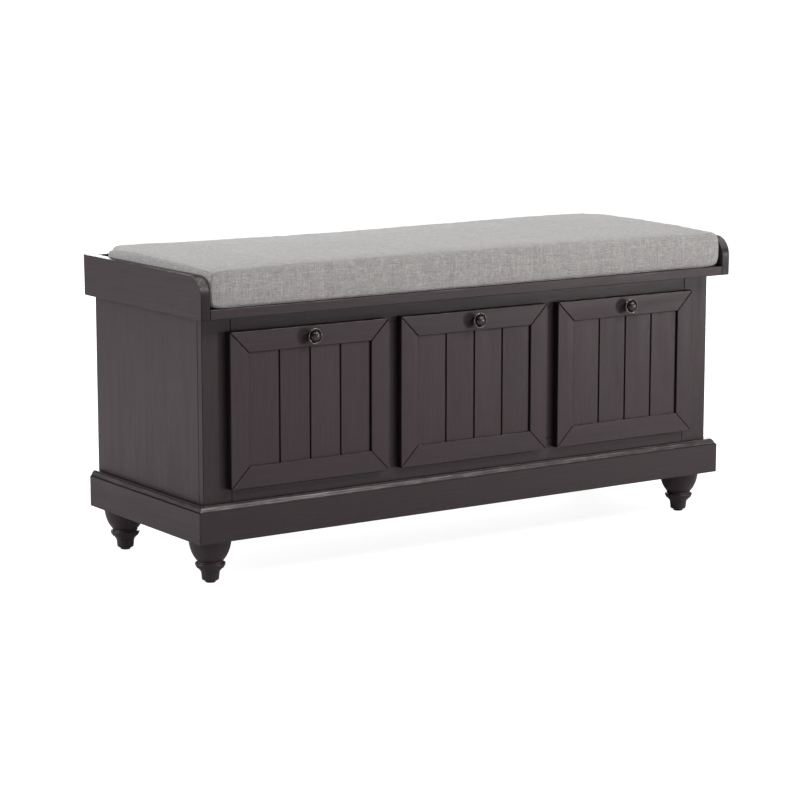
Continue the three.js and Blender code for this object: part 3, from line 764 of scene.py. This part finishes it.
# ======== screws ========
def screw_head(radius, proud):
    """Points and faces of one cross-head screw along local Z, and the faces of its dark recess."""
    slot, arm = 0.11 * radius, 0.56 * radius
    quarter = [(arm, -slot), (arm, slot), (slot, slot)]
    cross = []
    for _ in range(4):
        cross += quarter
        quarter = [(-v, u) for u, v in quarter]

    def ring(width, height):
        angles = [2 * math.pi * i / SCREW_SIDES for i in range(SCREW_SIDES)]
        return [(width * math.cos(a), width * math.sin(a), height) for a in angles]

    rings = [ring(radius, -0.2 * MM), ring(radius, 0.4 * proud), ring(0.86 * radius, proud)]
    points = [p for r in rings for p in r]
    faces = []
    for low in (0, SCREW_SIDES):
        high = low + SCREW_SIDES
        for i in range(SCREW_SIDES):
            following = (i + 1) % SCREW_SIDES
            faces.append((low + i, low + following, high + following, high + i))
    mouth = len(points)
    points += [(u, v, proud) for u, v in cross]
    edge = 2 * SCREW_SIDES
    outlines = (points[edge:mouth], points[mouth:])
    for a, b, c in geometry.tessellate_polygon([[Vector(p) for p in outline] for outline in outlines]):
        first, second, third = (Vector(points[edge + i]) for i in (a, b, c))
        upright = (second - first).cross(third - first).z > 0
        faces.append((edge + a, edge + b, edge + c) if upright else (edge + c, edge + b, edge + a))
    floor = len(points)
    points += [(u, v, 0.2 * proud) for u, v in cross]
    recess = []
    for i in range(len(cross)):
        following = (i + 1) % len(cross)
        recess.append((floor + i, floor + following, mouth + following, mouth + i))
    recess.append(tuple(range(floor, floor + len(cross))))
    return points, faces, recess


def add_screws(name, places, outwards, radius, proud, body, materials):
    """A row of screws in one surface, which faces +Y or -Y as outwards says."""
    points, faces, dark = [], [], []
    head, plain, recess = screw_head(radius, proud)
    for number, place in enumerate(places):
        turn = SCREW_TURN * number
        start = len(points)
        for u, v, height in head:
            x = place[X] - (u * math.cos(turn) - v * math.sin(turn)) * outwards
            z = place[Z] + u * math.sin(turn) + v * math.cos(turn)
            points.append((x, place[Y] + height * outwards, z))
        for group in (plain, recess):
            for face in group:
                faces.append([start + i for i in face])
                dark.append(group is recess)
    screws = new_piece(name, points, faces, materials[0])
    screws.data.materials.append(materials[1])
    for polygon, in_recess in zip(screws.data.polygons, dark):
        polygon.material_index = int(in_recess)
    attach(screws, body)


def leaf_screw_places(door, face, outwards):
    """A staggered row along one leaf of a hinge."""
    low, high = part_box(f"hinge_{door}_frame_leaf")
    spacing = (high[X] - low[X]) / HINGE_SCREWS
    places = []
    for i in range(HINGE_SCREWS):
        stagger = HINGE_SCREW_STAGGER * (-1) ** i * outwards
        places.append((low[X] + (i + 0.5) * spacing, face, high[Z] - LEAF_WIDTH / 2 + stagger))
    return places


def back_screw_places():
    """Rows along the back panel's top and bottom, and one screw at half height in each upright board."""
    low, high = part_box("back_panel")
    first, last = low[X] + BACK_SCREW_INSET, high[X] - BACK_SCREW_INSET
    below_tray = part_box("tray_back_board")[0][Z]
    rows = (low[Z] + BACK_SCREW_INSET, min(high[Z], below_tray) - BACK_SCREW_INSET)
    places = [(x, high[Y], z) for z in rows for x in np.linspace(first, last, BACK_SCREWS)]
    middle = sum(rows) / 2
    places += [(x, high[Y], middle) for x in (first, last)]
    for divider in ("divider_left", "divider_right"):
        left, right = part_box(divider)
        places.append(((left[X] + right[X]) / 2, high[Y], middle))
    return places


def add_all_screws():
    # the cross's recess gets a darker copy of the steel, as painted shade
    materials = (hinge_steel("screw_steel"), hinge_steel("screw_recess_shade_steel", brightness=RECESS_SHADE))
    frame_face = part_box("frame_bottom_rail")[0][Y]
    door_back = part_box("door_left_top_rail")[1][Y]
    for door in DOORS:
        leaves = (("frame", frame_face, -1, "carcass"), ("door", door_back, 1, f"door_{door}"))
        for leaf, face, outwards, body in leaves:
            places = leaf_screw_places(door, face, outwards)
            add_screws(f"screws_hinge_{door}_{leaf}", places, outwards,
                       HINGE_SCREW_RADIUS, HINGE_SCREW_PROUD, body, materials)
        low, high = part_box(f"knob_{door}")
        places = [((low[X] + high[X]) / 2, door_back, (low[Z] + high[Z]) / 2)]
        add_screws(f"screw_knob_{door}", places, 1,
                   KNOB_SCREW_RADIUS, KNOB_SCREW_PROUD, f"door_{door}", materials)
    add_screws("screws_back_panel", back_screw_places(), 1,
               BACK_SCREW_RADIUS, BACK_SCREW_PROUD, "carcass", materials)


# ======== cushion ========
def cut_places(half, radius):
    """Where a box's side is cut: evenly over the flat, and by equal angles over the rounded rim."""
    flat = half - radius
    count = max(2, round(2 * flat / CUSHION_STEP))
    middle = np.linspace(-flat, flat, count + 1)
    angles = np.linspace(0, math.pi / 4, RIM_CUTS + 1)[1:]
    rim = flat + radius * np.tan(angles)
    return np.concatenate([-rim[::-1], middle, rim])


def box_surface(cuts):
    """The surface of a box cut at these places along each axis: points, their cut numbers, and faces."""
    counts = [len(c) for c in cuts]
    numbers = {}
    faces = []
    for axis in (X, Y, Z):
        u, v = [a for a in (X, Y, Z) if a != axis]
        for end in (0, counts[axis] - 1):
            for i in range(counts[u] - 1):
                for j in range(counts[v] - 1):
                    corners = []
                    for di, dj in ((0, 0), (1, 0), (1, 1), (0, 1)):
                        place = [0, 0, 0]
                        place[axis], place[u], place[v] = end, i + di, j + dj
                        corners.append(numbers.setdefault(tuple(place), len(numbers)))
                    outwards = (end > 0) == (axis != Y)
                    faces.append(corners if outwards else corners[::-1])
    indices = np.array(list(numbers))
    points = np.stack([np.asarray(cuts[a])[indices[:, a]] for a in (X, Y, Z)], axis=1)
    return points, indices, faces


def rounded(points, halves):
    """Points of a box moved onto the same box with rounded edges, and their outward directions."""
    radii = np.array(CUSHION_RADII)
    core = np.clip(points, radii - halves, halves - radii)
    share = (points - core) / radii
    share = share / np.maximum(np.linalg.norm(share, axis=1, keepdims=True), 1e-9)
    out = share / radii
    out = out / np.maximum(np.linalg.norm(out, axis=1, keepdims=True), 1e-9)
    return core + share * radii, out


def seam_closeness(indices, counts):
    """1 on the seams around the cushion and up its corners, fading to 0 over two cuts."""
    from_end = np.minimum(indices, np.array(counts) - 1 - indices)
    nearest = np.sort(from_end, axis=1)
    off_seam = nearest[:, 1]
    return np.clip(1 - off_seam / 2.0, 0, 1) ** 1.5


def simulated(piece, pinned):
    """Where the cloth's points are once air has swollen it."""
    group = piece.vertex_groups.new(name="sewn")
    for i in np.flatnonzero(pinned > 0):
        group.add([int(i)], float(pinned[i]), "REPLACE")
    cloth = piece.modifiers.new("cloth", "CLOTH")
    settings = cloth.settings
    settings.quality = 6
    settings.mass = 0.25
    settings.tension_stiffness = 22
    settings.compression_stiffness = 22
    settings.shear_stiffness = 8
    settings.bending_stiffness = 1.2
    settings.use_pressure = True
    settings.uniform_pressure_force = CLOTH_PRESSURE
    settings.shrink_min = -0.012
    settings.vertex_group_mass = "sewn"
    settings.effector_weights.gravity = 0
    cloth.collision_settings.use_collision = False
    cloth.point_cache.frame_start = 1
    cloth.point_cache.frame_end = CLOTH_FRAMES
    scene = bpy.context.scene
    for number in range(1, CLOTH_FRAMES + 1):
        scene.frame_set(number)
    evaluated = piece.evaluated_get(bpy.context.evaluated_depsgraph_get())
    swollen = np.array([v.co for v in evaluated.data.vertices], float)
    piece.modifiers.remove(cloth)
    piece.vertex_groups.remove(group)
    scene.frame_set(1)
    return swollen


def softly_capped(moves, cap):
    """The same moves, none of them longer than the cap."""
    length = np.linalg.norm(moves, axis=1, keepdims=True)
    return moves * (cap * np.tanh(length / cap) / np.maximum(length, 1e-9))


# Where the foam has settled: the middle of each hollow and its reach along X and Y, all as shares of the
# cushion's half length and half width, and its depth.
HOLLOWS = (
    ((-1.00, -1.00), (0.25, 0.55), 3.0 * MM),
    ((-0.80, 0.30), (0.20, 0.40), 1.5 * MM),
    ((-0.25, 0.95), (0.70, 0.60), 4.8 * MM),
    ((0.95, -1.00), (0.45, 0.60), 2.0 * MM),
    ((1.00, 0.95), (0.12, 0.30), 2.0 * MM),
    ((-1.00, 1.00), (0.035, 0.20), 9.0 * MM),
)


def settled(x, y):
    """How far the top has sunk at a place given in shares of the cushion's half sizes."""
    depth = TOP_SLOPE * (1 - y) / 2 + FRONT_DROOP * np.exp(-(((y + 1) / FRONT_REACH) ** 2))
    for (centre_x, centre_y), (reach_x, reach_y), amount in HOLLOWS:
        depth += amount * np.exp(-(((x - centre_x) / reach_x) ** 2) - ((y - centre_y) / reach_y) ** 2)
    return depth


def creases(point, seam_distance):
    """How far fabric puckers at a point: gentle waves all over, and short folds close to a seam."""
    wave = noise.noise(point * WAVES) * WAVE_HEIGHT
    fold_place = Vector([place * folds for place, folds in zip(point, FOLDS)])
    near_seam = math.exp(-seam_distance / FOLD_REACH)
    return wave + noise.noise(fold_place) * FOLD_HEIGHT * near_seam


def tucked(points, halves):
    """How far the sewn corners draw in."""
    side = np.sign(points)
    off = halves - np.abs(points)
    corner = np.exp(-((off / CORNER_REACH) ** 2).sum(axis=1))
    moves = -side * corner[:, None] * np.array(CORNER_TUCK)
    upright = np.exp(-((off[:, :2] / UPRIGHT_REACH) ** 2).sum(axis=1)) * (side[:, Y] > 0)
    moves[:, :2] -= side[:, :2] * upright[:, None] * BACK_TUCK
    return moves


def swelling(cushion, points, closeness, at_bottom):
    """How far each point of the cushion moves when it is filled."""
    pinned = np.where(at_bottom | (closeness > 0.99), 1.0, 0.0)
    return softly_capped(simulated(cushion, pinned) - points, CUSHION_CROWN)


def puckers(points, out, halves):
    """How far each point of the cushion puckers."""
    off_sides = np.abs(points - np.sign(points) * halves)
    from_top = np.minimum(off_sides[:, X], off_sides[:, Y])
    seam_distance = np.where(out[:, Z] > 0.7, from_top, halves[Z] - points[:, Z])
    return np.array([creases(Vector(p), d) for p, d in zip(points, seam_distance)])


def fitted(points, halves, height):
    """The points brought to the length and width of their space, flat underneath, and to a height."""
    reach = np.abs(points[:, :2]).max(axis=0)
    points[:, :2] *= (halves[:2] + np.array(OVERFILL)) / reach
    lowest = points[:, Z].min()
    points[:, Z] = (points[:, Z] - lowest) * (height / (points[:, Z].max() - lowest)) - halves[Z]
    return points


def add_cushion():
    low, high = (np.array(corner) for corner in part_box("seat_cushion"))
    halves = (high - low) / 2
    start = halves - np.array(START_INSET)
    cuts = [cut_places(half, radius) for half, radius in zip(start, CUSHION_RADII)]
    box_points, indices, faces = box_surface(cuts)
    points, out = rounded(box_points, start)
    closeness = seam_closeness(indices, [len(c) for c in cuts])
    points = points - out * (closeness * SEAM_DEPTH)[:, None]
    cushion = new_piece("linen_seat_cushion", points.tolist(), faces, linen("grey_linen_woven"))

    made = points + swelling(cushion, points, closeness, indices[:, Z] == 0) * HELD_BACK
    share = made / halves
    height = np.clip((share[:, Z] + 1) / 2, 0, 1)
    pucker = puckers(made, out, halves) * (out[:, Z] > -0.6) * (1 - closeness)
    made = made + out * pucker[:, None]
    made[:, Z] -= settled(share[:, X], share[:, Y]) * height
    made += tucked(points, start)
    made = fitted(made, halves, CUSHION_TOP - low[Z])

    cushion.data.vertices.foreach_set("co", (made + (low + high) / 2).astype(np.float32).ravel())
    cushion.data.update()
    cushion.data.shade_smooth()
    smooth = cushion.modifiers.new("smooth", "SUBSURF")
    smooth.levels = 1
    smooth.render_levels = 1
    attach(cushion, "carcass")
    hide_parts("seat_cushion")


# ======== stage, lights and camera ========
def softbox(name, azimuth, distance, height, size, power, tint=WHITE[:3]):
    """A rectangular light that faces the bench. Azimuth 0 is in front of it, and 90 on its right."""
    lamp = bpy.data.lights.new(name, "AREA")
    lamp.shape = "RECTANGLE"
    lamp.size, lamp.size_y = size
    lamp.energy = power
    lamp.color = tint
    light = bpy.data.objects.new(name, lamp)
    light.visible_camera = False
    angle = math.radians(azimuth)
    light.location = (distance * math.sin(angle), -distance * math.cos(angle), height)
    bpy.context.scene.collection.objects.link(light)
    towards = Vector(LIT_POINT) - light.location
    light.rotation_euler = towards.to_track_quat("-Z", "Y").to_euler()


def is_camera_ray(tree):
    return tree.nodes.new("ShaderNodeLightPath").outputs["Is Camera Ray"]


def add_floor():
    half = FLOOR_SIZE / 2
    graph = Graph("studio_paper")
    seen = is_camera_ray(graph.tree)
    colour = graph.mix(seen, FLOOR_BOUNCE, FLOOR_SEEN)
    graph.surface(Base_Color=colour, Roughness=0.9, Specular_IOR_Level=0.1)
    graph.surface(Emission_Color=WHITE, Emission_Strength=graph.times(seen, FLOOR_GLOW))
    corners = [(-half, -half, 0), (half, -half, 0), (half, half, 0), (-half, half, 0)]
    new_piece("studio_floor", corners, [(0, 1, 2, 3)], graph.material)


def add_room():
    """A white surround that lights the bench only faintly."""
    world = bpy.data.worlds.new("studio")
    world.use_nodes = True
    tree = world.node_tree
    background = tree.nodes["Background"]
    background.inputs["Color"].default_value = WHITE
    strength = tree.nodes.new("ShaderNodeMapRange")
    strength.inputs["To Min"].default_value = ROOM_LIGHT
    strength.inputs["To Max"].default_value = 1.0
    tree.links.new(is_camera_ray(tree), strength.inputs["Value"])
    tree.links.new(strength.outputs["Result"], background.inputs["Strength"])
    bpy.context.scene.world = world


def add_lights():
    sun = bpy.data.lights.new("overhead", "SUN")
    sun.energy = OVERHEAD_STRENGTH
    sun.angle = math.radians(OVERHEAD_SPREAD)
    bpy.context.scene.collection.objects.link(bpy.data.objects.new("overhead", sun))
    softbox("key", azimuth=44, distance=7.0, height=0.6, size=(0.6, 1.0), power=105, tint=WARM)
    softbox("top_front", azimuth=29, distance=3.4, height=3.0, size=(2.2, 1.0), power=120, tint=WARM)
    softbox("left_fill", azimuth=-112, distance=3.2, height=1.3, size=(1.6, 1.6), power=72)
    softbox("edge_light", azimuth=148, distance=4.0, height=1.1, size=(2.6, 1.2), power=122)
    bpy.context.scene.view_settings.view_transform = "Standard"


def add_camera():
    lens = bpy.data.cameras.new("camera")
    lens.lens = CAMERA_LENS
    lens.sensor_width = SENSOR_WIDTH
    lens.clip_end = 2 * FLOOR_SIZE
    camera = bpy.data.objects.new("camera", lens)
    camera.location = CAMERA_PLACE
    camera.rotation_euler = (math.radians(90 - CAMERA_DIP), 0, -math.radians(CAMERA_TURN))
    bpy.context.scene.collection.objects.link(camera)
    bpy.context.scene.camera = camera


add_camera()
add_floor()
add_room()
add_lights()
finish_carcass()
finish_doors()
finish_cleats()
finish_hardware()
add_feet()
add_knobs()
add_all_screws()
add_cushion()
